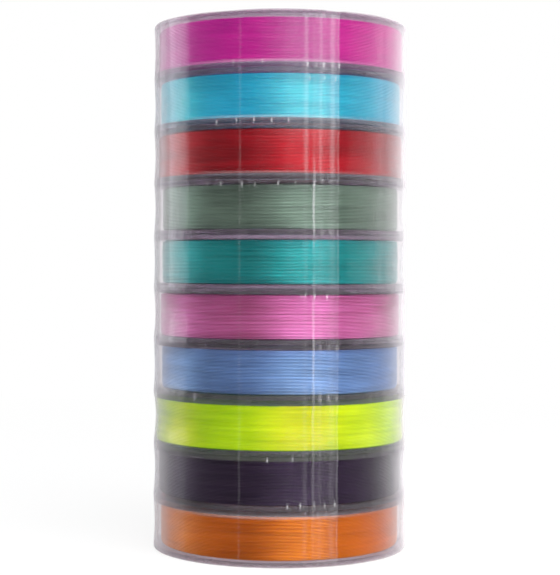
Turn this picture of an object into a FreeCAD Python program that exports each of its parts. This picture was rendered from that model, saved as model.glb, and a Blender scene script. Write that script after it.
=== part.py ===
"""A stack of ten clear fishing line spools, each full of coloured line, in one clear shrink wrap.

Every spool is two moulded halves: a lower half with the drum that the line is wound on, and an upper
half whose sleeve plugs into that drum. The sleeve runs on above the upper flange as a nesting ring,
which sits in the socket under the spool above, so each spool can turn on the one below.
Millimetres, +Z up along the common axis, origin on the surface that the stack stands on.
"""

import FreeCAD, Part
import math
import os
import types

import Sketcher

# Driving dimensions, one spreadsheet cell each
SIZES = {
    "spool_count": 10,
    "flange_radius": 34.0,
    "flange_thickness": 1.2,
    "rim_round": 0.35,
    "channel_width": 11.5,
    "channel_depth": 8.8,
    "stack_gap": 0.1,
    "drum_wall": 1.1,
    "sleeve_wall": 1.2,
    "sleeve_clearance": 0.05,
    "socket_wall": 0.7,
    "ring_height": 2.0,
    "ring_clearance": 0.15,
    "ring_end_gap": 0.5,
    "lead_in": 0.25,
    "snap_bead": 0.3,
    "snap_bead_rise": 1.6,
    "snap_clearance": 0.1,
    "finger_count": 8,
    "finger_slot_width": 1.0,
    "finger_length": 5.0,
    "lug_count": 4,
    "lug_height": 0.2,
    "lug_arc": 20.0,
    "line_hole_radius": 0.6,
    "notch_clearance": 0.15,
    "notch_mouth_width": 2.4,
    "notch_mouth_depth": 1.1,
    "line_diameter": 0.4,
    "line_turns": 11,
    "line_bend_radius": 0.5,
    "line_shoulder": 0.8,
    "line_clearance": 0.05,
    "film_thickness": 0.15,
    "film_gap": 0.15,
    "film_seat_gap": 0.05,
    "film_draw": 0.4,
    "film_corner": 0.3,
    "film_opening_gap": 3.25,
}

# How far the line lies below the flange rims on each spool, from the bottom of the stack to the top
LINE_INSETS = {
    "line_inset_01": 2.2,
    "line_inset_02": 1.6,
    "line_inset_03": 0.8,
    "line_inset_04": 2.4,
    "line_inset_05": 2.0,
    "line_inset_06": 2.4,
    "line_inset_07": 2.5,
    "line_inset_08": 1.5,
    "line_inset_09": 2.0,
    "line_inset_10": 1.5,
}

# The spools went into the wrap turned at random, with their notches away from the front
FIRST_NOTCH_ANGLE = 20.0
NOTCH_ANGLE_STEP = 16.0
NOTCH_ORDER_STEP = 7

HALF_TURNS_PER_TURN = 2
GAP_SAMPLES_PER_TURN = 120
VOLUME_TOLERANCE = 0.01


class Size:
    """A size with its value and the spreadsheet formula that it comes from."""

    def __init__(self, value, formula):
        self.value = value
        self.formula = formula

    def joined(self, sign, other, value):
        text = other.formula if isinstance(other, Size) else str(other)
        return Size(value, f"({self.formula} {sign} {text})")

    def __add__(self, other):
        return self.joined("+", other, self.value + number(other))

    def __sub__(self, other):
        return self.joined("-", other, self.value - number(other))

    def __mul__(self, other):
        return self.joined("*", other, self.value * number(other))

    def __truediv__(self, other):
        return self.joined("/", other, self.value / number(other))

    def __neg__(self):
        return self * -1


def number(item):
    """The plain value of a Size or a number."""
    return item.value if isinstance(item, Size) else item


def greatest(sizes):
    """The largest of several sizes, as a Size."""
    return Size(max(size.value for size in sizes), "max(" + "; ".join(size.formula for size in sizes) + ")")


def make_sheet(doc, cells):
    """Writes each driving dimension to a cell with an alias and gives them back as Sizes."""
    sheet = doc.addObject("Spreadsheet::Sheet", "Sizes")
    for row, (alias, value) in enumerate(cells.items(), start=1):
        sheet.set(f"A{row}", alias)
        sheet.set(f"B{row}", str(value))
        sheet.setAlias(f"B{row}", alias)
    return types.SimpleNamespace(**{alias: Size(value, f"Sizes.{alias}") for alias, value in cells.items()})


def origin_part(body, role):
    """The origin plane or axis of a body that has this role."""
    return [part for part in body.Origin.OriginFeatures if part.Role == role][0]


def bind(item, prop, size):
    """Gives a property its value and ties it to the spreadsheet."""
    setattr(item, prop, number(size))
    item.setExpression(prop, size.formula)


def new_sketch(body, name, plane):
    sketch = body.newObject("Sketcher::SketchObject", name)
    sketch.AttachmentSupport = [(origin_part(body, plane), "")]
    sketch.MapMode = "FlatFace"
    return sketch


def pin_point(sketch, edge, end, point):
    """Holds one end of a sketch edge at a point given by two Sizes, or 0 for a point on an axis."""
    for kind, axis, size in (("DistanceX", -2, point[0]), ("DistanceY", -1, point[1])):
        if isinstance(size, Size):
            index = sketch.addConstraint(Sketcher.Constraint(kind, -1, 1, edge, end, size.value))
            sketch.setExpression(f"Constraints[{index}]", size.formula)
        else:
            sketch.addConstraint(Sketcher.Constraint("PointOnObject", edge, end, axis))


def outline(body, name, plane, corners, sags=None):
    """A closed sketch through the corners. sags gives the rise of an arc to the right of an upright edge."""
    sketch = new_sketch(body, name, plane)
    sags = sags or {}
    places = [FreeCAD.Vector(number(x), number(y), 0) for x, y in corners]
    count = len(places)
    ends = []
    for edge, start in enumerate(places):
        finish = places[(edge + 1) % count]
        if edge not in sags:
            sketch.addGeometry(Part.LineSegment(start, finish))
            ends.append((1, 2))
            continue
        across = (finish - start).normalize().cross(FreeCAD.Vector(0, 0, 1))
        crown = (start + finish) * 0.5 + across * number(sags[edge])
        if number(sags[edge]) > 0:
            sketch.addGeometry(Part.Arc(start, crown, finish))
            ends.append((1, 2))
        else:
            sketch.addGeometry(Part.Arc(finish, crown, start))
            ends.append((2, 1))
    for edge in range(count):
        after = (edge + 1) % count
        sketch.addConstraint(Sketcher.Constraint("Coincident", edge, ends[edge][1], after, ends[after][0]))
    for edge, corner in enumerate(corners):
        pin_point(sketch, edge, ends[edge][0], corner)
    for edge, sag in sags.items():
        half = (corners[(edge + 1) % count][1] - corners[edge][1]) / 2
        height = sag if number(sag) > 0 else -sag
        radius = (half * half + height * height) / (height * 2)
        index = sketch.addConstraint(Sketcher.Constraint("Radius", edge, radius.value))
        sketch.setExpression(f"Constraints[{index}]", radius.formula)
    return sketch


def revolve(body, name, sketch, angle=None):
    """Turns a sketch about the body's Z axis, all the way round or over an angle centred on the sketch."""
    feature = body.newObject("PartDesign::Revolution", name)
    feature.Profile = sketch
    feature.ReferenceAxis = (sketch, ["V_Axis"])
    if angle is None:
        feature.Angle = 360.0
    else:
        feature.Midplane = True
        bind(feature, "Angle", angle)
    body.Document.recompute()
    return feature


def cut(body, name, sketch, depth, reverse=False):
    """Pockets a sketch to a depth and checks that it removed something."""
    before = body.Shape.Volume
    feature = body.newObject("PartDesign::Pocket", name)
    feature.Profile = sketch
    feature.Reversed = reverse
    bind(feature, "Length", depth)
    body.Document.recompute()
    if not body.Shape.Volume < before:
        raise RuntimeError(f"{body.Label}: {name} cut nothing")
    return feature


def repeat_round(body, name, feature, count):
    """Repeats a feature evenly round the body's Z axis."""
    pattern = body.newObject("PartDesign::PolarPattern", name)
    pattern.Originals = [feature]
    pattern.Axis = (origin_part(body, "Z_Axis"), [""])
    pattern.Angle = 360.0
    bind(pattern, "Occurrences", count)
    body.Tip = pattern
    body.Document.recompute()
    return pattern


def round_edges(body, name, feature, radius, edge_radius, heights=None):
    """Fillets the circular edges of one radius, at the given heights or at all of them."""
    chosen = []
    for index, edge in enumerate(feature.Shape.Edges, start=1):
        if not isinstance(edge.Curve, Part.Circle) or abs(edge.Curve.Radius - edge_radius.value) > 1e-4:
            continue
        height = edge.Curve.Center.z
        if heights is None or any(abs(height - wanted.value) < 1e-4 for wanted in heights):
            chosen.append(f"Edge{index}")
    fillet = body.newObject("PartDesign::Fillet", name)
    fillet.Base = (feature, chosen)
    bind(fillet, "Radius", radius)
    body.Document.recompute()
    return fillet


def tooth(radius, centre, height, half_base):
    """The four corners of a bead or groove that stands height out from radius, with sloping flanks."""
    tip = half_base - height * 0.8
    return [
        (radius, centre - half_base),
        (radius + height, centre - tip),
        (radius + height, centre + tip),
        (radius, centre + half_base),
    ]


def plan_spool(dims):
    """The radii and heights that the two halves of a spool share, in the spool's own frame."""
    plan = types.SimpleNamespace()
    plan.upper_flange = dims.flange_thickness + dims.channel_width
    plan.top = plan.upper_flange + dims.flange_thickness
    plan.pitch = plan.top + dims.stack_gap
    plan.drum = dims.flange_radius - dims.channel_depth
    plan.drum_bore = plan.drum - dims.drum_wall
    plan.socket = plan.drum - dims.socket_wall
    plan.socket_depth = dims.ring_height + dims.ring_end_gap
    plan.sleeve = plan.drum_bore - dims.sleeve_clearance
    plan.bore = plan.sleeve - dims.sleeve_wall
    plan.ring = plan.socket - dims.ring_clearance
    plan.ring_top = plan.top + dims.ring_height
    plan.bead_height = plan.socket_depth + dims.snap_bead_rise
    plan.bead_half = dims.snap_bead * 1.6
    plan.lug_middle = plan.top + dims.ring_height / 2
    plan.lug_half = dims.lug_height * 1.7
    plan.groove_half = plan.lug_half + dims.snap_clearance
    plan.lowest_line = dims.flange_radius - greatest([getattr(dims, name) for name in LINE_INSETS])
    return plan


def lower_half(doc, dims, plan, label):
    """Lower flange and drum, with the snap groove inside the drum and the nesting socket below."""
    body = doc.addObject("PartDesign::Body", label)
    bead_groove = tooth(
        plan.drum_bore,
        plan.bead_height,
        dims.snap_bead + dims.snap_clearance - dims.sleeve_clearance,
        plan.bead_half + dims.snap_clearance,
    )
    lug_groove = tooth(
        plan.socket,
        dims.ring_height / 2 - dims.stack_gap,
        dims.lug_height + dims.snap_clearance - dims.ring_clearance,
        plan.groove_half,
    )
    section = [
        (plan.socket + dims.lead_in, 0),
        (dims.flange_radius, 0),
        (dims.flange_radius, dims.flange_thickness),
        (plan.drum, dims.flange_thickness),
        (plan.drum, plan.upper_flange),
        (plan.drum_bore, plan.upper_flange),
        *reversed(bead_groove),
        (plan.drum_bore, plan.socket_depth),
        (plan.socket, plan.socket_depth),
        *reversed(lug_groove),
        (plan.socket, dims.lead_in),
    ]
    turned = revolve(body, "flange_and_drum", outline(body, "half_section", "XZ_Plane", section))
    round_edges(body, "rim_rounding", turned, dims.rim_round, dims.flange_radius)
    hole = new_sketch(body, "line_hole_plan", "XY_Plane")
    place = plan.drum + dims.line_hole_radius * 2
    hole.addGeometry(Part.Circle(FreeCAD.Vector(place.value, 0, 0), FreeCAD.Vector(0, 0, 1), dims.line_hole_radius.value))
    radius = hole.addConstraint(Sketcher.Constraint("Radius", 0, dims.line_hole_radius.value))
    hole.setExpression(f"Constraints[{radius}]", dims.line_hole_radius.formula)
    pin_point(hole, 0, 3, (place, 0))
    cut(body, "line_hole", hole, dims.flange_thickness, reverse=True)
    return body


def upper_half(doc, dims, plan, label):
    """Upper flange, the split sleeve that snaps into the drum, and the nesting ring with its lugs."""
    body = doc.addObject("PartDesign::Body", label)
    section = [
        (plan.bore, plan.socket_depth),
        (plan.sleeve - dims.lead_in, plan.socket_depth),
        (plan.sleeve, plan.socket_depth + dims.lead_in),
        *tooth(plan.sleeve, plan.bead_height, dims.snap_bead, plan.bead_half),
        (plan.sleeve, plan.upper_flange),
        (dims.flange_radius, plan.upper_flange),
        (dims.flange_radius, plan.top),
        (plan.ring, plan.top),
        (plan.ring, plan.ring_top - dims.lead_in),
        (plan.ring - dims.lead_in, plan.ring_top),
        (plan.bore, plan.ring_top),
    ]
    turned = revolve(body, "flange_and_sleeve", outline(body, "half_section", "XZ_Plane", section))
    round_edges(body, "rim_rounding", turned, dims.rim_round, dims.flange_radius)
    lug_section = tooth(plan.ring, plan.lug_middle, dims.lug_height, plan.lug_half)
    lug_root = plan.ring - dims.ring_clearance
    lug_section = [(lug_root, lug_section[0][1]), *lug_section, (lug_root, lug_section[3][1])]
    lug = revolve(body, "snap_lug", outline(body, "lug_section", "XZ_Plane", lug_section), dims.lug_arc)
    repeat_round(body, "snap_lugs", lug, dims.lug_count)
    half_slot = dims.finger_slot_width / 2
    slot_top = plan.socket_depth + dims.finger_length
    slot_outline = [(-half_slot, 0), (half_slot, 0), (half_slot, slot_top), (-half_slot, slot_top)]
    slot = cut(body, "finger_slot", outline(body, "finger_slot_plan", "XZ_Plane", slot_outline), plan.socket + dims.lead_in)
    repeat_round(body, "finger_slots", slot, dims.finger_count)
    half_notch = dims.line_diameter / 2 + dims.notch_clearance
    half_mouth = dims.notch_mouth_width / 2
    root = plan.lowest_line - dims.line_diameter - dims.notch_clearance
    throat = dims.flange_radius - dims.notch_mouth_depth
    outside = dims.flange_radius + dims.film_gap
    notch_outline = [
        (root, -half_notch),
        (throat, -half_notch),
        (outside, -half_mouth),
        (outside, half_mouth),
        (throat, half_notch),
        (root, half_notch),
    ]
    cut(body, "line_notch", outline(body, "line_notch_plan", "XY_Plane", notch_outline), plan.top, reverse=True)
    return body


def inner_layers(doc, dims, plan, label, line_radius):
    """The full layers of line under the outer one, as one ring with rounded shoulders."""
    body = doc.addObject("PartDesign::Body", label)
    inside = plan.drum + dims.line_clearance
    outside = line_radius - dims.line_diameter - dims.line_clearance
    low = dims.flange_thickness + dims.line_clearance
    high = plan.upper_flange - dims.line_clearance
    section = [(inside, low), (outside, low), (outside, high), (inside, high)]
    turned = revolve(body, "wound_layers", outline(body, "layer_section", "XZ_Plane", section))
    round_edges(body, "shoulders", turned, dims.line_shoulder, outside)
    return body


def arc_between(start, corner, finish):
    """The arc from start to finish whose end tangents meet at corner."""
    middle = (start + finish) * 0.5
    rise = corner - middle
    half_turn = math.atan2(rise.Length, (finish - start).Length / 2)
    crown = middle + rise * (math.tan(half_turn / 2) / math.tan(half_turn))
    return Part.Arc(start, crown, finish).toShape()


def biarc(start, start_way, finish, finish_way):
    """Two tangent arcs from start to finish that leave and arrive along the given unit directions."""
    span = finish - start
    ways = start_way + finish_way
    square = 2 * (1 - start_way.dot(finish_way))
    along = span.dot(ways)
    reach = (math.sqrt(along * along + square * span.dot(span)) - along) / square
    first = start + start_way * reach
    second = finish - finish_way * reach
    join = (first + second) * 0.5
    return [arc_between(start, first, join), arc_between(join, second, finish)]


def turns_path(dims, plan, centre_radius):
    """The line's outer layer: up out of the lower flange, round and round, and up into the notch."""
    bend = dims.line_bend_radius.value
    straight = dims.line_diameter.value
    floor = dims.flange_thickness.value
    ceiling = plan.upper_flange.value
    notch_end = ceiling + dims.flange_thickness.value / 2
    low = floor + straight + bend
    high = ceiling - straight - bend
    steps = int(dims.line_turns.value * HALF_TURNS_PER_TURN)
    lead = (high - low) / (2 * math.pi * centre_radius * dims.line_turns.value)
    up = FreeCAD.Vector(0, 0, 1)
    forward = FreeCAD.Vector(0, 1, 0)
    foot = FreeCAD.Vector(centre_radius, 0, floor)
    bend_start = FreeCAD.Vector(centre_radius, 0, floor + straight)
    points = [FreeCAD.Vector(centre_radius, bend, low)]
    ways = [forward]
    for step in range(1, steps):
        angle = 2 * math.pi * step / HALF_TURNS_PER_TURN
        height = low + (high - low) * step / steps
        points.append(FreeCAD.Vector(centre_radius * math.cos(angle), centre_radius * math.sin(angle), height))
        ways.append(FreeCAD.Vector(-math.sin(angle), math.cos(angle), lead).normalize())
    points.append(FreeCAD.Vector(centre_radius, -bend, high))
    ways.append(forward)
    edges = [Part.LineSegment(foot, bend_start).toShape()]
    edges.append(arc_between(bend_start, bend_start + up * bend, points[0]))
    for step in range(steps):
        edges += biarc(points[step], ways[step], points[step + 1], ways[step + 1])
    bend_end = FreeCAD.Vector(centre_radius, 0, high + bend)
    edges.append(arc_between(points[-1], bend_end - up * bend, bend_end))
    edges.append(Part.LineSegment(bend_end, FreeCAD.Vector(centre_radius, 0, notch_end)).toShape())
    return Part.Wire(edges)


def least_gap(path, diameter, turns, turn_length):
    """The smallest clear distance between neighbouring turns, from points to the chords a turn on."""
    points = path.discretize(Number=int(turns * GAP_SAMPLES_PER_TURN))
    spacing = path.Length / (len(points) - 1)
    turn = int(turn_length / spacing)
    nearest = path.Length
    for index, point in enumerate(points):
        for later in range(index + turn - 4, min(index + turn + 4, len(points) - 1)):
            chord = points[later + 1] - points[later]
            along = (point - points[later]).dot(chord) / chord.dot(chord)
            closest = points[later] + chord * min(max(along, 0), 1)
            nearest = min(nearest, (closest - point).Length)
    return nearest - diameter


def outer_turns(doc, dims, plan, label, line_radius):
    """The outer layer of line as one unbroken round tube, wound over the inner layers."""
    thickness = dims.line_diameter.value
    centre_radius = line_radius.value - thickness / 2
    path = turns_path(dims, plan, centre_radius)
    start = path.Edges[0].firstVertex().Point
    section = Part.Wire(Part.Circle(start, FreeCAD.Vector(0, 0, 1), thickness / 2).toShape())
    pipe = Part.BRepOffsetAPI.MakePipeShell(path)
    pipe.add(section)
    pipe.build()
    pipe.makeSolid()
    tube = pipe.shape()
    wanted = math.pi * thickness * thickness / 4 * path.Length
    if abs(tube.Volume - wanted) > VOLUME_TOLERANCE * wanted:
        raise RuntimeError(f"{label}: the tube holds {tube.Volume:.2f} mm3 and not {wanted:.2f}")
    gap = least_gap(path, thickness, dims.line_turns.value, 2 * math.pi * centre_radius)
    print(f"{label}: {path.Length:.0f} mm of line, least gap between turns {gap:.3f} mm")
    feature = doc.addObject("Part::Feature", label)
    feature.Shape = tube
    return feature


def film_sleeve(doc, dims, plan, label):
    """The shrink wrap: one drawn-in bay for each spool, and a lip turned in over each end."""
    body = doc.addObject("PartDesign::Body", label)
    inner = dims.flange_radius + dims.film_gap
    outer = inner + dims.film_thickness
    low = dims.film_thickness
    high = low + plan.pitch * dims.spool_count
    seat = low + dims.film_seat_gap
    bay = [
        (inner, low),
        (outer, low),
        (outer, seat + dims.flange_thickness),
        (outer, seat + plan.upper_flange),
        (outer, low + plan.pitch),
        (inner, low + plan.pitch),
        (inner, seat + plan.upper_flange),
        (inner, seat + dims.flange_thickness),
    ]
    sags = {2: -dims.film_draw, 6: dims.film_draw}
    wrap = revolve(body, "one_bay", outline(body, "bay_section", "XZ_Plane", bay, sags))
    stack = body.newObject("PartDesign::LinearPattern", "bays")
    stack.Originals = [wrap]
    stack.Direction = (origin_part(body, "Z_Axis"), [""])
    bind(stack, "Length", plan.pitch * (dims.spool_count - 1))
    bind(stack, "Occurrences", dims.spool_count)
    body.Tip = stack
    edge = plan.ring + dims.film_opening_gap
    for name, foot in (("lower_lip", low - low), ("upper_lip", high)):
        lip = [(edge, foot), (outer, foot), (outer, foot + low), (edge, foot + low)]
        flat = revolve(body, name, outline(body, name + "_section", "XZ_Plane", lip))
    inside = round_edges(body, "inner_corners", flat, dims.film_corner, inner, [low, high])
    outer_corner = dims.film_corner + dims.film_thickness
    round_edges(body, "outer_corners", inside, outer_corner, outer, [low - low, high + low])
    return body


def check_document(doc):
    """Stops the build if any feature failed to compute."""
    for item in doc.Objects:
        if "Invalid" in item.State or "Error" in item.State:
            raise RuntimeError(f"{item.Label} failed: {item.State}")


def export(parts):
    """Writes each part's shape to its own STEP file."""
    os.makedirs("parts", exist_ok=True)
    for part in parts:
        shape = part.Shape
        if shape.isNull() or not shape.isValid():
            raise RuntimeError(f"{part.Label} has no valid shape")
        shape.exportStep(os.path.join("parts", part.Label + ".step"))
        print(f"{part.Label}: {shape.Volume:.1f} mm3, {len(shape.Solids)} solid, {len(shape.Faces)} faces")


def main():
    doc = FreeCAD.newDocument("line_spool_stack")
    dims = make_sheet(doc, {**SIZES, **LINE_INSETS})
    doc.recompute()
    plan = plan_spool(dims)
    seat = dims.film_thickness + dims.film_seat_gap
    parts = []
    for index in range(int(dims.spool_count.value)):
        mark = f"{index + 1:02d}"
        line_radius = dims.flange_radius - getattr(dims, list(LINE_INSETS)[index % len(LINE_INSETS)])
        spool = [
            lower_half(doc, dims, plan, f"spool_{mark}_lower_half"),
            upper_half(doc, dims, plan, f"spool_{mark}_upper_half"),
            inner_layers(doc, dims, plan, f"line_{mark}_inner_layers", line_radius),
            outer_turns(doc, dims, plan, f"line_{mark}_outer_turns", line_radius),
        ]
        turned = FIRST_NOTCH_ANGLE + NOTCH_ANGLE_STEP * (NOTCH_ORDER_STEP * index % dims.spool_count.value)
        height = seat + plan.pitch * index
        for part in spool:
            part.Placement = FreeCAD.Placement(
                FreeCAD.Vector(0, 0, height.value), FreeCAD.Rotation(FreeCAD.Vector(0, 0, 1), turned)
            )
            part.setExpression("Placement.Base.z", height.formula)
        parts += spool
    parts.append(film_sleeve(doc, dims, plan, "shrink_film"))
    doc.recompute()
    check_document(doc)
    export(parts)


main()
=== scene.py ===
"""Looks for the shrink-wrapped stack of line spools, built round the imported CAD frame. Metres, +Z up."""

import math

import bpy
import numpy as np
from mathutils import Euler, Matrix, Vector


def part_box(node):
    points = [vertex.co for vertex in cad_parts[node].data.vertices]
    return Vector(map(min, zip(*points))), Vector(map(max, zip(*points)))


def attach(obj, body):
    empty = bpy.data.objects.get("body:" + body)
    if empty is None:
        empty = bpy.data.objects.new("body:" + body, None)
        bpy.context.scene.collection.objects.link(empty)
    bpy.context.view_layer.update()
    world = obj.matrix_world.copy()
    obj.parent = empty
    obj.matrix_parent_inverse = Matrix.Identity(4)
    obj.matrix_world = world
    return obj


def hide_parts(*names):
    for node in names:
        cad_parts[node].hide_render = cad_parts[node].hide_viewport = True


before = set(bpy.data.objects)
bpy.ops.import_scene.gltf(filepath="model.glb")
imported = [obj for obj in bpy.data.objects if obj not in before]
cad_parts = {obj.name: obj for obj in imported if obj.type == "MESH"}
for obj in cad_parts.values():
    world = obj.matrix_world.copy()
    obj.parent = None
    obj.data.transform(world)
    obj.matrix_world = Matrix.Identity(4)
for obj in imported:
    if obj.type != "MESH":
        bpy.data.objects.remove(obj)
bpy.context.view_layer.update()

MM = 0.001
TAU = 2 * math.pi
SPOOLS = [f"{index:02d}" for index in range(1, 11)]

# Angle of the side that faces the camera
FRONT = -math.pi / 2

# Line colours from the bottom of the stack to the top: colour in the nylon, colour of its sheen, glow
LINES = {
    "01": ("line_orange", (0.19, 0.004, 0.002), (0.84, 0.29, 0.003), (0, 0, 0)),
    "02": ("line_black", (0.004, 0.0025, 0.003), (0.05, 0.021, 0.078), (0, 0, 0)),
    "03": ("line_yellow", (0.37, 0.66, 0.003), (0.60, 0.06, 0.002), (0, 0.22, 0)),
    "04": ("line_periwinkle", (0.012, 0.025, 0.12), (0.29, 0.50, 0.78), (0, 0, 0)),
    "05": ("line_pink", (0.12, 0.008, 0.03), (0.94, 0.25, 0.62), (0, 0, 0)),
    "06": ("line_teal", (0.002, 0.030, 0.032), (0.012, 0.49, 0.49), (0, 0, 0)),
    "07": ("line_grey_green", (0.021, 0.024, 0.018), (0.27, 0.41, 0.32), (0, 0, 0)),
    "08": ("line_red", (0.065, 0.001, 0.004), (0.70, 0.005, 0.02), (0, 0, 0)),
    "09": ("line_cyan", (0.003, 0.08, 0.28), (0.06, 0.60, 0.42), (0, 0.14, 0.22)),
    "10": ("line_magenta", (0.37, 0.002, 0.12), (0.10, 0.05, 0.12), (0.25, 0, 0.20)),
}

# Share of the sheen in a line's look, and how far its streaks darken and lighten both colours
LINE_SHEEN = 0.38
DARKEST = 0.74
LIGHTEST = 1.27

# Clear plastic: surface, light that goes straight through and its share, and what a thick part takes away
PLASTIC_SURFACE = (0.92, 0.87, 0.93, 1.0)
PLASTIC_THROUGH = (0.86, 0.82, 0.87, 1.0)
PLASTIC_STRAIGHT = 0.5
PLASTIC_DEPTH = (0.50, 0.42, 0.52, 1.0)
PLASTIC_DENSITY = 75.0

# Film seen straight on and at its outline: its gloss and its tint, and the colour of the milky film at folds
# and welded seams, which also shows the painted highlights and reflections
FILM_GLOSS = (0.90, 0.89, 0.90)
FILM_GLOSS_OUTLINE = (0.60, 0.57, 0.59)
FILM_TINT = (0.975, 0.970, 0.972)
FILM_TINT_OUTLINE = (0.78, 0.755, 0.77)
FILM_MILK_AND_HIGHLIGHT = (0.94, 0.92, 0.94, 1.0)

# The strand: its radius, the sides of its mesh, and the steps of its route in one turn
STRAND_RADIUS = 0.2 * MM
STRAND_SIDES = 6
STEPS_PER_TURN = 72

# Winding: depth from layer to layer, spacing of the turns in strand radii, and how far it varies
LAYER_STEP = 0.30 * MM
TURN_SPACING = 1.78
SPACING_SPREAD = 0.14

# How far the turns wander along the drum, and how far they are slack, at how many places in a turn
WANDER = 0.03 * MM
SLACK = 0.03 * MM
SLACK_PLACES = 5

# How much lower the winding is beside a flange, and how wide that part is
EDGE_DROP = 0.22 * MM
EDGE_WIDTH = 1.1 * MM

# Gap between the strand and a flange, and the bend of its end up into the rim notch
STRAND_GAP = 0.02 * MM
TAIL_BEND = 0.5 * MM
TAIL_STEPS = 10

# The line under the strand: bore round the drum, depth in layers, and rounding beside the flanges
BULK_BORE = 25.25 * MM
BULK_DEPTH = 1.45
BULK_SHOULDER = 0.6 * MM
BULK_SEGMENTS = 144

# Film: its wall, gap to the rims, rounding over the end rims, and radius of the edge of its lips
FILM_WALL = 0.10 * MM
FILM_GAP = 0.12 * MM
FILM_SHOULDER = 0.6 * MM
LIP_EDGE = 27.7 * MM

# Gaps of the lips to the ends of the film's box, and how far the top one stands up from the rim
BOTTOM_GAP = 0.02 * MM
TOP_GAP = 0.05 * MM
TOP_LIFT = 0.25 * MM

# Mesh of the film: even columns, rows of a lip, of a rounding and of a spool's height
FILM_COLUMNS = 420
LIP_ROWS = 14
CORNER_ROWS = 7
BAY_ROWS = 28

# Where the rows of the spools start and stop inside the film's box
ROWS_START = 0.8 * MM
ROWS_STOP = 1.0 * MM

# Waist of the film between two rims: least and most depth in mm, its lean up or down, and its shape
WAIST_DEPTH = (0.18, 0.46)
WAIST_LEAN = 0.25
WAIST_POWER = 1.3
WAIST_BROAD = 0.25
WAIST_FINE = 0.010 * MM

# Rucks near the rims: their reach in spool heights, their height, and that of the rucks in the lap
RUCK_REACH = 0.1
RUCK_RISE = 0.03 * MM
LAP_RUCK_RISE = 0.10 * MM
LAP_RUCK_WAVES = 97

# Lips: the wave of their edge and of the film's top corner, and the puckers of the two lips
LIP_EDGE_WAVE = 0.5 * MM
CORNER_WAVE = 0.10 * MM
LOWER_PUCKER = 0.015 * MM
UPPER_PUCKER = 0.28 * MM

# What runs down the film: the lap of its two edges, a crease left of it, the painted reflection veil that
# ends at the lap's right edge, and a painted reflection band further left
LAP_LEFT = FRONT + math.radians(14.5)
LAP_RIGHT = FRONT + math.radians(25.6)
LAP_EDGE = math.radians(0.6)
CREASE = FRONT - math.radians(17.5)
REFLECTION_VEIL_START = FRONT - math.radians(13.0)
REFLECTION_VEIL_RISE = math.radians(24.0)
SOFT_BAND = (FRONT - math.radians(57.0), FRONT - math.radians(45.8))
SOFT_BAND_RISE = math.radians(6.0)

# Half widths of the crease, of the fold at the lap's left edge and of the line at its right edge
CREASE_WIDTH = math.radians(0.55)
FOLD_WIDTH = math.radians(0.9)
EDGE_LINE_WIDTH = math.radians(0.5)

# How far the lap, the crease and the fold stand out
LAP_RISE = 0.04 * MM
CREASE_RISE = 0.04 * MM
FOLD_RISE = 0.02 * MM

# How milky the lap, the crease and the line at the lap's right edge are, how strong the painted highlight on
# the fold is, how milky the lips are, how strong the painted glints on the puckers and the rim lines are, and
# how milky the rucks are
LAP_MILK = 0.012
CREASE_MILK = 0.04
EDGE_LINE_MILK = 0.08
FOLD_HIGHLIGHT = 0.5
LIP_MILK = 0.05
TICK_HIGHLIGHT = 0.6
RUCK_MILK = 0.01
LAP_RUCK_MILK = 0.12

# Heights below which the painted reflection veil and band grow stronger downwards, above which the veil does
# upwards, and where the painted streaks do, with fades
LOWER_PART = (58 * MM, 16 * MM)
UPPER_PART = (105 * MM, 9 * MM)
STREAK_PART = (96 * MM, 6 * MM)

# Painted reflection veil all over its reach, and more of it in the lower part and in the upper part; the
# painted reflection band, and the painted reflection streaks with more of them in the upper part
REFLECTION_VEIL_STRENGTH = (0.006, 0.006, 0.045)
REFLECTION_BAND_STRENGTH = 0.012
STREAK_REFLECTION_STRENGTH = (0.03, 0.06)

# Painted reflection streaks down the film: angle from the front and half width, in degrees
REFLECTION_STREAKS = ((-63.0, 1.5), (-50.0, 1.6), (-47.0, 0.8), (11.0, 1.4), (17.5, 0.9), (22.8, 1.6))

# How bright the painted highlight on the fold at the left edge of the lap is beside each spool, from the
# bottom of the stack
FOLD_HIGHLIGHT_STRENGTH = (0.06, 0.12, 0.16, 0.34, 0.36, 0.04, 0.55, 0.06, 0.08, 0.05)

# Small puckers in the film, each with a painted glint: spool whose base they are nearest, height above it,
# first and last angle, count
TICKS = (
    (2, 1.5 * MM, 2.3, 25.8, 5),
    (3, -0.8 * MM, -6.0, 6.2, 2),
    (4, 0.6 * MM, -62.0, -39.0, 4),
    (6, -1.6 * MM, 8.2, 19.6, 4),
    (8, -1.4 * MM, -41.0, 14.0, 8),
    (9, 0.4 * MM, -27.0, 4.0, 5),
    (10, 0.5 * MM, 11.0, 24.5, 3),
    (10, -2.9 * MM, 11.5, 25.0, 3),
    (10, 1.2 * MM, -19.0, -8.0, 2),
)
TICK_WIDTH = math.radians(0.5)
TICK_REACH = 0.8 * MM
TICK_RISE = 0.08 * MM

# Painted highlights where the film bends over a rim, shown on the front side only: spool, height above its
# base, strength
RIM_HIGHLIGHTS = ((10, 1.35 * MM, 0.34), (9, 1.35 * MM, 0.34), (8, 1.35 * MM, 0.22), (1, 12.7 * MM, 0.40))
RIM_HIGHLIGHT_WIDTH = 0.3 * MM

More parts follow.
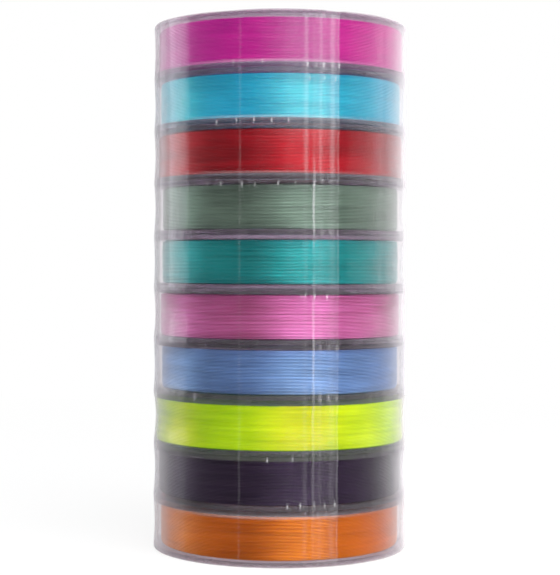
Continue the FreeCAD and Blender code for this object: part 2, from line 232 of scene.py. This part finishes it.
# Upright lamp panels: name, first and last azimuth, distance, lowest and highest point, radiance, colour
PLAIN_WHITE = (1.0, 1.0, 1.0)
KEY_WHITE = (0.97, 0.985, 1.0)
WINDOW_WHITE = (0.90, 0.96, 1.0)
BACK_WHITE = (0.95, 0.97, 1.0)
PANELS = (
    ("key", 4, 30, 0.9, 0.01, 0.62, 4.8, KEY_WHITE),
    ("key_edge", 30, 51, 0.9, 0.01, 0.62, 6.2, KEY_WHITE),
    ("key_left", -22, 3, 0.95, 0.01, 0.62, 0.9, PLAIN_WHITE),
    ("left_strip", -118, -89, 0.8, 0.05, 0.70, 2.9, WINDOW_WHITE),
    ("left_strip_low", -118, -89, 0.8, 0.01, 0.05, 1.6, WINDOW_WHITE),
    ("left_back", -140, -118, 0.85, 0.01, 0.70, 1.0, BACK_WHITE),
    ("right_side", 62, 104, 0.9, 0.05, 0.70, 2.3, PLAIN_WHITE),
    ("right_side_low", 62, 104, 0.9, 0.01, 0.05, 1.4, PLAIN_WHITE),
    ("right_back", 104, 160, 0.9, 0.01, 0.75, 0.85, PLAIN_WHITE),
)

# Lamp panels above: name, azimuth, elevation, distance, width, depth, radiance
HIGH_PANELS = (
    ("key_high", 26, 57, 0.9, 0.75, 0.72, 5.0),
    ("overhead", 200, 75, 0.9, 0.8, 0.5, 0.8),
)
HIGH_PANEL_TARGET = Vector((0, 0, 0.07))


def new_material(name):
    """A new node material with an empty tree and its output."""
    look = bpy.data.materials.new(name)
    look.use_nodes = True
    look.node_tree.nodes.clear()
    output = look.node_tree.nodes.new("ShaderNodeOutputMaterial")
    return look, look.node_tree, output


def add(tree, kind, values=None, **settings):
    """A node with its settings and the values of its inputs, given by name or number."""
    node = tree.nodes.new(kind)
    for name, value in settings.items():
        setattr(node, name, value)
    for name, value in (values or {}).items():
        if isinstance(value, bpy.types.NodeSocket):
            tree.links.new(value, node.inputs[name])
        else:
            node.inputs[name].default_value = value
    return node


def maths(tree, operation, *values, clamp=False):
    """The result of a math node on sockets and numbers."""
    node = add(tree, "ShaderNodeMath", dict(enumerate(values)), operation=operation, use_clamp=clamp)
    return node.outputs[0]


def map_range(tree, value, low, high, start=0.0, stop=1.0):
    """A value that goes from low to high while the given one goes from start to stop."""
    limits = {"Value": value, "From Min": start, "From Max": stop, "To Min": low, "To Max": high}
    return add(tree, "ShaderNodeMapRange", limits).outputs[0]


def noise(tree, where, **values):
    """A noise texture's value at the given place."""
    return add(tree, "ShaderNodeTexNoise", {"Vector": where, **values}).outputs[0]


def stretched(tree, where, scale):
    """A place with each of its coordinates scaled."""
    return add(tree, "ShaderNodeMapping", {"Vector": where, "Scale": scale}).outputs[0]


def blend_colours(tree, share, first, second):
    """A colour that goes from the first to the second by a share."""
    node = add(tree, "ShaderNodeMix", data_type="RGBA")
    factor, colour_a, colour_b, result = node.inputs[0], node.inputs[6], node.inputs[7], node.outputs[2]
    tree.links.new(share, factor)
    colour_a.default_value = rgba(first)
    colour_b.default_value = rgba(second)
    return result


def mix_shaders(tree, share, first, second):
    """Two shaders mixed: only the first at 0, only the second at 1."""
    return add(tree, "ShaderNodeMixShader", {0: share, 1: first, 2: second}).outputs[0]


def rgba(colour):
    return (*colour, 1.0)


def line_material(name, inside, sheen, glow):
    """Monofilament: colour deep in the nylon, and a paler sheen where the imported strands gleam."""
    look, tree, output = new_material(name)
    where = add(tree, "ShaderNodeTexCoord").outputs["Object"]
    along = stretched(tree, where, (40.0, 40.0, 1400.0))
    streaks = noise(tree, along, Scale=1.0, Detail=3.0, Roughness=0.6)
    clouds = noise(tree, stretched(tree, where, (55.0, 55.0, 120.0)), Scale=1.0, Detail=2.0)
    spread = map_range(tree, maths(tree, "ADD", streaks, clouds), 0.0, 1.0, 0.72, 1.28)
    tones = []
    for colour in (inside, sheen):
        dark = [DARKEST * channel for channel in colour]
        light = [min(LIGHTEST * channel + 0.002, 1.0) for channel in colour]
        tones.append(blend_colours(tree, spread, dark, light))
    rough = map_range(tree, streaks, 0.26, 0.42)
    body = add(tree, "ShaderNodeBsdfPrincipled", {"Base Color": tones[0], "Roughness": rough})
    body.inputs["IOR"].default_value = 1.53
    body.inputs["Specular IOR Level"].default_value = 0.06
    # Painted glow: emission that keeps these lines bright where little lamp light falls on them
    if max(glow) > 0:
        body.inputs["Emission Color"].default_value = rgba(glow)
        body.inputs["Emission Strength"].default_value = 1.0
    gleam = add(tree, "ShaderNodeBsdfGlossy", {"Color": tones[1], "Roughness": rough})
    whole = mix_shaders(tree, LINE_SHEEN, body.outputs[0], gleam.outputs[0])
    tree.links.new(whole, output.inputs["Surface"])
    return look


def clear_plastic_material():
    """Crystal polystyrene: nearly clear through a wall, and mauve grey along the whole width of a flange."""
    look, tree, output = new_material("clear_polystyrene")
    where = add(tree, "ShaderNodeTexCoord").outputs["Object"]
    haze = noise(tree, where, Scale=60.0, Detail=3.0)
    rough = map_range(tree, haze, 0.08, 0.18)
    shader = add(tree, "ShaderNodeBsdfPrincipled", {"Roughness": rough, "Base Color": PLASTIC_SURFACE})
    # Weak refraction, so that what lies behind a flange shows in its place
    shader.inputs["IOR"].default_value = 1.14
    shader.inputs["Transmission Weight"].default_value = 0.93
    straight = add(tree, "ShaderNodeBsdfTransparent", {"Color": PLASTIC_THROUGH})
    whole = mix_shaders(tree, PLASTIC_STRAIGHT, shader.outputs[0], straight.outputs[0])
    tree.links.new(whole, output.inputs["Surface"])
    depth = add(tree, "ShaderNodeVolumeAbsorption", {"Color": PLASTIC_DEPTH, "Density": PLASTIC_DENSITY})
    tree.links.new(depth.outputs[0], output.inputs["Volume"])
    return look


def film_material():
    """Clear shrink film: paler towards its outline, milky where it is folded, puckered or welded, and with
    painted highlights and reflections.
    """
    look, tree, output = new_material("clear_shrink_film")
    where = add(tree, "ShaderNodeTexCoord").outputs["Object"]
    pulled = stretched(tree, where, (140.0, 140.0, 30.0))
    ripple = noise(tree, pulled, Scale=1.0, Detail=3.0, Roughness=0.55)
    bump = add(tree, "ShaderNodeBump", {"Height": ripple, "Strength": 0.14, "Distance": 0.0002}).outputs[0]
    facing = add(tree, "ShaderNodeLayerWeight", {"Blend": 0.5, "Normal": bump}).outputs["Facing"]
    outline = map_range(tree, facing, 0.0, 1.0, 0.50, 0.95)
    gloss = add(tree, "ShaderNodeBsdfGlossy", {
        "Color": blend_colours(tree, outline, FILM_GLOSS, FILM_GLOSS_OUTLINE),
        "Roughness": map_range(tree, ripple, 0.09, 0.17),
        "Normal": bump,
    }).outputs[0]
    tint = blend_colours(tree, outline, FILM_TINT, FILM_TINT_OUTLINE)
    through = add(tree, "ShaderNodeBsdfTransparent", {"Color": tint}).outputs[0]
    gloss_share = maths(tree, "MULTIPLY_ADD", maths(tree, "POWER", facing, 3.2), 0.40, 0.0026)
    clear = mix_shaders(tree, gloss_share, through, gloss)
    dull = maths(tree, "MULTIPLY_ADD", maths(tree, "POWER", facing, 4.0), 0.52, 0.0015)
    # One mask holds the real milkiness and the painted highlights and reflections; both show through the
    # milky diffuse
    milk_and_highlight = add(tree, "ShaderNodeAttribute", attribute_name="milk_and_highlight", attribute_type="GEOMETRY")
    haze = maths(tree, "MULTIPLY_ADD", milk_and_highlight.outputs["Fac"], 0.45, dull, clamp=True)
    milk_and_highlight_shader = add(tree, "ShaderNodeBsdfDiffuse", {"Color": FILM_MILK_AND_HIGHLIGHT}).outputs[0]
    tree.links.new(mix_shaders(tree, haze, clear, milk_and_highlight_shader), output.inputs["Surface"])
    return look


def mesh_object(name, points, faces, look, smooth=True):
    """A mesh object with one material."""
    mesh = bpy.data.meshes.new(name)
    mesh.from_pydata([tuple(point) for point in points], [], [tuple(face) for face in faces])
    mesh.update()
    if smooth:
        mesh.shade_smooth()
    mesh.materials.append(look)
    item = bpy.data.objects.new(name, mesh)
    bpy.context.scene.collection.objects.link(item)
    return item


def grid_faces(rows, columns, wrap_rows=False, wrap_columns=False, first=0):
    """Quads over a grid of points, optionally closed round either way."""
    row_ids = np.arange(rows if wrap_rows else rows - 1)
    column_ids = np.arange(columns if wrap_columns else columns - 1)
    row_grid, column_grid = np.meshgrid(row_ids, column_ids, indexing="ij")
    next_row = (row_grid + 1) % rows
    next_column = (column_grid + 1) % columns
    quads = np.stack(
        [
            row_grid * columns + column_grid,
            row_grid * columns + next_column,
            next_row * columns + next_column,
            next_row * columns + column_grid,
        ],
        axis=-1,
    )
    return (quads.reshape(-1, 4) + first).tolist()


def tube(centres, radius, sides):
    """Points and faces of a round tube whose route goes round the Z axis."""
    ahead = np.gradient(centres, axis=0)
    ahead /= np.linalg.norm(ahead, axis=1, keepdims=True)
    outward = centres * (1, 1, 0)
    outward -= ahead * np.sum(outward * ahead, axis=1, keepdims=True)
    outward /= np.linalg.norm(outward, axis=1, keepdims=True)
    across = np.cross(ahead, outward)
    angles = np.arange(sides) * TAU / sides
    ring = outward[:, None] * np.cos(angles)[None, :, None] + across[:, None] * np.sin(angles)[None, :, None]
    points = (centres[:, None] + ring * radius).reshape(-1, 3)
    faces = grid_faces(len(centres), sides, wrap_columns=True)
    faces.append(list(range(sides)))
    faces.append(list(range(len(points) - sides, len(points)))[::-1])
    return points, faces


def lathe(profile, segments):
    """Points and faces of a closed ring turned from a closed profile of (radius, height) points."""
    angles = np.arange(segments) * TAU / segments
    profile = np.asarray(profile)
    points = np.stack(
        [
            profile[None, :, 0] * np.cos(angles)[:, None],
            profile[None, :, 0] * np.sin(angles)[:, None],
            np.broadcast_to(profile[None, :, 1], (segments, len(profile))),
        ],
        axis=-1,
    ).reshape(-1, 3)
    return points, grid_faces(segments, len(profile), wrap_rows=True, wrap_columns=True)


def wavy(angle, draw, amplitude, waves):
    """A smooth closed ripple round the axis, made of a few random harmonics."""
    total = np.zeros_like(angle)
    for wave in waves:
        total += draw.normal() / math.sqrt(len(waves)) * np.sin(wave * angle + draw.uniform(0, TAU))
    return amplitude * total


def smooth_step(value):
    value = np.clip(value, 0, 1)
    return value * value * (3 - 2 * value)


def bump_at(angle, centre, width):
    """1 at the centre angle, falling smoothly to 0 one width away."""
    away = np.abs((angle - centre + math.pi) % TAU - math.pi)
    return smooth_step(1 - away / width)


def veil(angle, start, stop, rise):
    """0 outside two angles. Inside it grows to 1 over the rise after the first, and ends sharply."""
    since = (angle - start) % TAU
    return smooth_step(since / rise) * (since < stop - start)


def winding_route(draw, radius, low, high, notch, notch_top):
    """Down over the layer below and up over the outer one, out into the rim notch."""
    width = high - low - 2 * STRAND_RADIUS
    turns = int(width / (TURN_SPACING * STRAND_RADIUS))

    def heights():
        steps = 1 + draw.uniform(0, SPACING_SPREAD, turns)
        stops = np.concatenate([[0.0], np.cumsum(steps)])
        return stops / stops[-1] * width

    position = np.linspace(0, turns, turns * STEPS_PER_TURN + 1)
    whole = np.arange(turns + 1)
    down = np.interp(position, whole, heights())[::-1]
    up = np.interp(position, whole, heights())
    swing = np.linspace(0, 1, STEPS_PER_TURN // 2)[1:-1]
    height = np.concatenate([down, np.zeros(len(swing)), up])
    depth = np.concatenate([np.full(len(down), LAYER_STEP), LAYER_STEP * (1 - swing), np.zeros(len(up))])
    count = len(height)
    angle = notch + (np.arange(count) - (count - 1)) * TAU / STEPS_PER_TURN
    lean = wavy(angle, draw, WANDER, (1, 2, 3))
    inside = np.minimum(height, width - height) / EDGE_WIDTH
    drop = EDGE_DROP * np.clip(1 - inside, 0, 1) ** 2
    places = turns * SLACK_PLACES
    slack = np.interp(angle, np.linspace(angle[0], angle[-1], places), draw.uniform(-SLACK, SLACK, places))
    distance = radius - STRAND_RADIUS - depth - drop + np.minimum(slack, 0.0)
    level = low + STRAND_RADIUS + height + lean * np.clip(inside, 0, 1)
    route = np.stack([distance * np.cos(angle), distance * np.sin(angle), level], axis=1)

    last = route[-1]
    along = np.array([-math.sin(notch), math.cos(notch), 0.0])
    tail = []
    for bend in np.linspace(0, math.pi / 2, TAIL_STEPS)[1:]:
        tail.append(last + along * TAIL_BEND * math.sin(bend) + (0, 0, TAIL_BEND * (1 - math.cos(bend))))
    tip = tail[-1].copy()
    tip[2] = notch_top
    return np.concatenate([route, tail, [tip]])


def bulk_profile(outside, low, high):
    """Section of the line under the strand, with rounded outer corners."""
    centre = outside - BULK_SHOULDER
    profile = [(BULK_BORE, low), (centre, low)]
    for turn in np.linspace(0, math.pi / 2, 6)[1:]:
        height = low + BULK_SHOULDER * (1 - math.cos(turn))
        profile.append((centre + BULK_SHOULDER * math.sin(turn), height))
    for turn in np.linspace(0, math.pi / 2, 6):
        height = high - BULK_SHOULDER * (1 - math.sin(turn))
        profile.append((centre + BULK_SHOULDER * math.cos(turn), height))
    profile.append((BULK_BORE, high))
    return profile


def build_line(mark, seed):
    """The wound line of one spool: the two outer layers strand by strand, over the full inside."""
    slot, inside, sheen, glow = LINES[mark]
    look = line_material(slot + "_nylon", inside, sheen, glow)
    draw = np.random.default_rng(seed)
    core_low, core_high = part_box(f"line_{mark}_inner_layers")
    turns_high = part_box(f"line_{mark}_outer_turns")[1]
    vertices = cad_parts[f"line_{mark}_outer_turns"].data.vertices
    places = np.empty(len(vertices) * 3)
    vertices.foreach_get("co", places)
    places = places.reshape(-1, 3)
    tip = places[places[:, 2] > turns_high.z - STRAND_RADIUS].mean(axis=0)
    notch = math.atan2(tip[1], tip[0])
    radius = float(np.hypot(places[:, 0], places[:, 1]).max())
    low = core_low.z + STRAND_GAP
    high = core_high.z - STRAND_GAP
    route = winding_route(draw, radius, low, high, notch, turns_high.z)
    points, faces = tube(route, STRAND_RADIUS, STRAND_SIDES)
    strand = mesh_object(f"line_{mark}_strand", points, faces, look)
    outside = radius - BULK_DEPTH * LAYER_STEP - STRAND_RADIUS
    points, faces = lathe(bulk_profile(outside, core_low.z, core_high.z), BULK_SEGMENTS)
    bulk = mesh_object(f"line_{mark}_bulk", points, faces, look)
    for piece, node in ((strand, "outer_turns"), (bulk, "inner_layers")):
        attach(piece, f"spool_{mark}")
        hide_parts(f"line_{mark}_{node}")


def tick_places():
    """Angle, height and strength of every pucker and of its painted glint."""
    draw = np.random.default_rng(9)
    places = []
    for number, rise, first, last, count in TICKS:
        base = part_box(f"spool_{number:02d}_lower_half")[0].z
        for turn in np.linspace(first, last, count):
            angle = FRONT + math.radians(turn + draw.uniform(-1.5, 1.5))
            places.append((angle, base + rise + draw.uniform(-0.25, 0.25) * MM, draw.uniform(0.5, 1.1)))
    return places


def film_angles(places):
    """Angles round the film, closer together at the crease, the edges of the lap and the puckers."""
    even = np.arange(FILM_COLUMNS) * TAU / FILM_COLUMNS
    close = np.radians(np.linspace(-1.2, 1.2, 13))
    near = [centre + offset for centre in (LAP_LEFT, LAP_RIGHT, CREASE) for offset in close]
    near += [turn + offset for turn, _, _ in places for offset in (-TICK_WIDTH, 0.0, TICK_WIDTH)]
    angles = np.unique(np.round(np.concatenate([even, np.array(near) % TAU]), 5))
    return angles[np.concatenate([[True], np.diff(angles) > math.radians(0.12)])]


def film_marks(angle):
    """The marks that run down the film, each with its strength at every angle: ridges, milky lines, painted
    reflections, and where painted highlights show.
    """
    after_left = (angle - LAP_LEFT) % TAU
    before_right = (LAP_RIGHT - angle) % TAU
    lap = smooth_step(after_left / LAP_EDGE) * smooth_step(before_right / LAP_EDGE)
    streaks = [bump_at(angle, FRONT + math.radians(turn), math.radians(wide)) for turn, wide in REFLECTION_STREAKS]
    return {
        "lap": np.where(after_left < LAP_RIGHT - LAP_LEFT, lap, 0.0),
        "crease": bump_at(angle, CREASE, CREASE_WIDTH),
        "fold": bump_at(angle, LAP_LEFT, FOLD_WIDTH),
        "edge_line": bump_at(angle, LAP_RIGHT, EDGE_LINE_WIDTH),
        "streaks": sum(streaks),
        "reflection_veil": veil(angle, REFLECTION_VEIL_START, LAP_RIGHT, REFLECTION_VEIL_RISE),
        "band": veil(angle, SOFT_BAND[0], SOFT_BAND[1], SOFT_BAND_RISE),
        # Where the painted rim highlights show
        "front": bump_at(angle, FRONT - math.radians(8), math.radians(75)),
    }


def thin_shell(radii, heights, angle, wall):
    """Points and faces of a closed shell inside rows of rings, open at the first and the last row."""
    across_radius = np.gradient(radii, axis=0)
    across_height = np.gradient(heights, axis=0)
    length = np.hypot(across_radius, across_height)

    def ring_points(ring_radii, ring_heights):
        flat = (ring_radii * np.cos(angle), ring_radii * np.sin(angle), ring_heights)
        return np.stack(flat, axis=-1).reshape(-1, 3)

    outer_points = ring_points(radii, heights)
    inner_points = ring_points(radii - wall * across_height / length, heights + wall * across_radius / length)
    rows, columns = radii.shape
    shift = rows * columns
    outer = grid_faces(rows, columns, wrap_columns=True)
    inner = [face[::-1] for face in grid_faces(rows, columns, wrap_columns=True, first=shift)]
    edges = []
    last = shift - columns
    for column in range(columns):
        after = (column + 1) % columns
        edges.append([column, column + shift, after + shift, after])
        edges.append([last + after, last + after + shift, last + column + shift, last + column])
    return np.concatenate([outer_points, inner_points]), outer + inner + edges


def build_film(look):
    """The shrink wrap: tight on each rim, drawn in between them, lapped in front, with lips turned in."""
    draw = np.random.default_rng(5)
    film_low, film_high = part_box("shrink_film")
    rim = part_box("spool_01_lower_half")[1].x
    seams = [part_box(f"spool_{mark}_lower_half")[0].z for mark in SPOOLS]
    pitch = seams[1] - seams[0]
    corner = rim - FILM_SHOULDER
    bottom = film_low.z + BOTTOM_GAP
    top = film_high.z - TOP_GAP

    places = tick_places()
    angle = film_angles(places)
    marks = film_marks(angle)
    ridge = marks["lap"] * LAP_RISE + marks["crease"] * CREASE_RISE + marks["fold"] * FOLD_RISE
    weld_line = LAP_MILK * marks["lap"] + CREASE_MILK * marks["crease"] + EDGE_LINE_MILK * marks["edge_line"]
    lip_wave = np.tanh(wavy(angle, draw, 1.0, (5, 7, 11, 17, 23)))
    edge_wave = wavy(angle, draw, LIP_EDGE_WAVE, (2, 3, 5, 9))
    corner_wave = wavy(angle, draw, CORNER_WAVE, (2, 3, 7, 13))
    rows = []

    def row(radius, height, milk_and_highlight):
        rows.append((radius + 0 * angle, height + 0 * angle, milk_and_highlight + 0 * angle))

    def lip_radius(step):
        return LIP_EDGE + (corner - LIP_EDGE) * step + edge_wave * (1 - step)

    lip_steps = np.linspace(0, 1, LIP_ROWS)
    for step in lip_steps:
        row(lip_radius(step), bottom + LOWER_PUCKER * (1 - step) * (1 + lip_wave), LIP_MILK)
    for turn in np.linspace(0, math.pi / 2, CORNER_ROWS)[1:]:
        radius = corner + (FILM_SHOULDER + FILM_GAP + ridge) * math.sin(turn)
        row(radius, bottom + FILM_SHOULDER * (1 - math.cos(turn)), LIP_MILK)

    waists = draw.uniform(*WAIST_DEPTH, len(SPOOLS)) * MM
    lean = draw.uniform(-WAIST_LEAN, WAIST_LEAN, len(SPOOLS))
    broad = [wavy(angle, draw, WAIST_BROAD, (1, 2, 3)) for _ in SPOOLS]
    fine = [wavy(angle, draw, WAIST_FINE, (9, 14, 19)) for _ in SPOOLS]
    puckers = [wavy(angle, draw, 1.0, (31, 43, 57, 71, 83)) for _ in range(len(SPOOLS) + 1)]
    start = film_low.z + ROWS_START
    stop = film_high.z - ROWS_STOP
    middles = np.array(seams) + pitch / 2
    for bay, base in enumerate(seams):
        for share in np.linspace(0, 1, BAY_ROWS + 1)[:-1]:
            height = base + pitch * share
            if not start < height < stop:
                continue
            waist = math.sin(math.pi * (share + lean[bay] * share * (1 - share))) ** WAIST_POWER
            depth = waist * (waists[bay] * (1 + broad[bay]) + fine[bay])
            near_rim = math.exp(-((min(share, 1 - share) / RUCK_REACH) ** 2))
            ruck = np.clip(puckers[bay if share < 0.5 else bay + 1], 0, None)
            lap_ruck = np.zeros_like(angle)
            if bay % 3 == 0:
                lap_ruck = marks["lap"] * np.clip(np.sin(angle * LAP_RUCK_WAVES + bay * 1.7), 0, None)
            raised = near_rim * (RUCK_RISE * ruck + LAP_RUCK_RISE * lap_ruck)
            # Each pucker raises the film, and the same strength later paints its glint
            tick = np.zeros_like(angle)
            for turn, level, strength in places:
                reach = 1 - abs(height - level) / TICK_REACH
                if reach > 0:
                    tick += reach * strength * bump_at(angle, turn, TICK_WIDTH)
            radius = rim + FILM_GAP - depth + raised + ridge * (1 - 0.3 * waist) + TICK_RISE * tick
            # Painted highlights along the rims, only on the front side, added to the puckers' painted glints
            for number, rise, pale in RIM_HIGHLIGHTS:
                if number == bay + 1:
                    tick += pale * math.exp(-(((height - base - rise) / RIM_HIGHLIGHT_WIDTH) ** 2)) * marks["front"]
            # Heights where the painted reflections grow stronger: the veil and the band downwards, the veil
            # also upwards
            low = smooth_step((LOWER_PART[0] - height) / LOWER_PART[1])
            high = smooth_step((height - UPPER_PART[0]) / UPPER_PART[1])
            # Painted reflection streaks, stronger in the upper part
            streak = STREAK_REFLECTION_STRENGTH[0] + STREAK_REFLECTION_STRENGTH[1] * smooth_step((height - STREAK_PART[0]) / STREAK_PART[1])
            reflection_veil = REFLECTION_VEIL_STRENGTH[0] + REFLECTION_VEIL_STRENGTH[1] * low + REFLECTION_VEIL_STRENGTH[2] * high
            # Painted highlight along the fold at the lap's left edge, brighter beside some spools
            fold = FOLD_HIGHLIGHT * np.interp(height, middles, FOLD_HIGHLIGHT_STRENGTH)
            # Real milkiness of the lap, the crease and the lap's right edge, with the painted highlights and
            # the painted reflection streaks
            milk_and_highlight = weld_line + fold * marks["fold"] + streak * marks["streaks"] + TICK_HIGHLIGHT * tick
            # Painted reflection veil over the front and painted reflection band at the left
            milk_and_highlight += reflection_veil * marks["reflection_veil"] + REFLECTION_BAND_STRENGTH * low * marks["band"]
            row(radius, height, milk_and_highlight + near_rim * (RUCK_MILK * ruck + LAP_RUCK_MILK * lap_ruck))

    pull = bump_at(angle, LAP_RIGHT - math.radians(2.0), math.radians(6.0))
    up = np.clip(TOP_LIFT * (1 - 0.9 * pull) + corner_wave, 0, None)
    for turn in np.linspace(0, math.pi / 2, CORNER_ROWS):
        radius = corner + (FILM_SHOULDER + FILM_GAP + ridge) * math.cos(turn)
        height = top - FILM_SHOULDER * (1 - math.sin(turn)) + up * (0.4 + 0.6 * math.sin(turn))
        row(radius, height, weld_line)
    for step in lip_steps[::-1][1:]:
        pucker = UPPER_PUCKER * (1 - step) ** 0.7 * (0.5 + 0.5 * lip_wave)
        row(lip_radius(step), top + up * step + pucker, LIP_MILK)

    radii, heights, milk_and_highlight_rows = (np.array(values) for values in zip(*rows))
    points, faces = thin_shell(radii, heights, angle, FILM_WALL)
    film = mesh_object("film_wrap", points, faces, look)
    mask = film.data.attributes.new("milk_and_highlight", "FLOAT", "POINT")
    mask.data.foreach_set("value", np.concatenate([milk_and_highlight_rows.ravel(), milk_and_highlight_rows.ravel()]).astype(np.float32))
    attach(film, "wrap")
    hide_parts("shrink_film")


def seen_rays(tree):
    """One where the background is seen directly, in a reflection or through clear plastic."""
    path = add(tree, "ShaderNodeLightPath").outputs
    seen = maths(tree, "MAXIMUM", path["Is Camera Ray"], path["Is Transmission Ray"])
    return maths(tree, "MAXIMUM", seen, path["Is Glossy Ray"])


def build_stage():
    """Pale floor that runs out to white, and white surroundings."""
    world = bpy.data.worlds.new("studio")
    bpy.context.scene.world = world
    world.use_nodes = True
    tree = world.node_tree
    tree.nodes.clear()
    output = tree.nodes.new("ShaderNodeOutputWorld")
    plain = add(tree, "ShaderNodeBackground", {"Color": (0.96, 0.97, 1.0, 1.0), "Strength": 0.15})
    white = add(tree, "ShaderNodeBackground", {"Color": (1.0, 1.0, 1.0, 1.0), "Strength": 1.0})
    whole = mix_shaders(tree, seen_rays(tree), plain.outputs[0], white.outputs[0])
    tree.links.new(whole, output.inputs["Surface"])

    look, tree, output = new_material("pale_floor")
    where = add(tree, "ShaderNodeTexCoord").outputs["Object"]
    tint = map_range(tree, noise(tree, where, Scale=30.0, Detail=2.0), 0.90, 0.93)
    matt = add(tree, "ShaderNodeBsdfDiffuse", {"Color": tint})
    bright = add(tree, "ShaderNodeEmission", {"Color": (1.0, 1.0, 1.0, 1.0), "Strength": 1.0})
    away = add(tree, "ShaderNodeVectorMath", {0: where}, operation="LENGTH").outputs["Value"]
    share = maths(tree, "MULTIPLY", seen_rays(tree), map_range(tree, away, 0.86, 1.0, 0.08, 0.5))
    whole = mix_shaders(tree, share, matt.outputs[0], bright.outputs[0])
    tree.links.new(whole, output.inputs["Surface"])
    size = 4.0
    corners = [(-size, -size, 0), (size, -size, 0), (size, size, 0), (-size, size, 0)]
    floor = mesh_object("floor", corners, [(0, 1, 2, 3)], look, smooth=False)


def area_lamp(name, outward, place, width, height, radiance, colour):
    """A soft rectangular panel that faces back along the outward direction."""
    light = bpy.data.lights.new(name, "AREA")
    light.shape = "RECTANGLE"
    light.size = width
    light.size_y = height
    light.energy = radiance * math.pi * width * height
    light.color = colour
    item = bpy.data.objects.new(name, light)
    item.location = place
    item.rotation_mode = "QUATERNION"
    item.rotation_quaternion = (-outward).to_track_quat("-Z", "Y")
    bpy.context.scene.collection.objects.link(item)


def upright_panel(name, first, last, distance, low, high, radiance, colour):
    """A panel between two azimuths and two heights. Azimuth 0 is at the camera, 90 at the camera's right."""
    around = math.radians((first + last) / 2)
    width = 2 * distance * math.tan(math.radians((last - first) / 2))
    outward = Vector((math.sin(around), -math.cos(around), 0))
    place = outward * distance + Vector((0, 0, (low + high) / 2))
    area_lamp(name, outward, place, width, high - low, radiance, colour)


def high_panel(name, azimuth, elevation, distance, width, depth, radiance):
    """A panel above, turned to face the object."""
    around = math.radians(azimuth)
    above = math.radians(elevation)
    level = math.cos(above)
    outward = Vector((math.sin(around) * level, -math.cos(around) * level, math.sin(above)))
    place = HIGH_PANEL_TARGET + outward * distance
    area_lamp(name, outward, place, width, depth, radiance, PLAIN_WHITE)


def build_camera():
    """A long lens a little above the middle of the stack, as in the photograph."""
    distance = 0.432
    rise = math.radians(0.9)
    roll = math.radians(-0.2)
    focal_length_pixels = 1588.0
    picture_height_pixels = 575.0
    sensor = 36.0
    data = bpy.data.cameras.new("camera")
    data.sensor_width = sensor
    data.lens = focal_length_pixels / picture_height_pixels * sensor
    data.clip_start = 0.01
    item = bpy.data.objects.new("camera", data)
    target = Vector((0.0, 0.0, 0.0702))
    item.location = target + Vector((0, -math.cos(rise), math.sin(rise))) * distance
    item.rotation_euler = Euler((math.pi / 2 - rise, roll, 0), "XYZ")
    bpy.context.scene.collection.objects.link(item)
    bpy.context.scene.camera = item


plastic = clear_plastic_material()
for mark in SPOOLS:
    for half in ("lower_half", "upper_half"):
        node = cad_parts[f"spool_{mark}_{half}"]
        for place in node.material_slots:
            place.link = "OBJECT"
            place.material = plastic
for seed, mark in enumerate(SPOOLS, start=20):
    build_line(mark, seed)
build_film(film_material())
build_stage()
for values in PANELS:
    upright_panel(*values)
for values in HIGH_PANELS:
    high_panel(*values)
build_camera()

scene = bpy.context.scene
scene.view_settings.view_transform = "Standard"
# Light crosses many clear walls, one behind the other
scene.cycles.transparent_max_bounces = 32
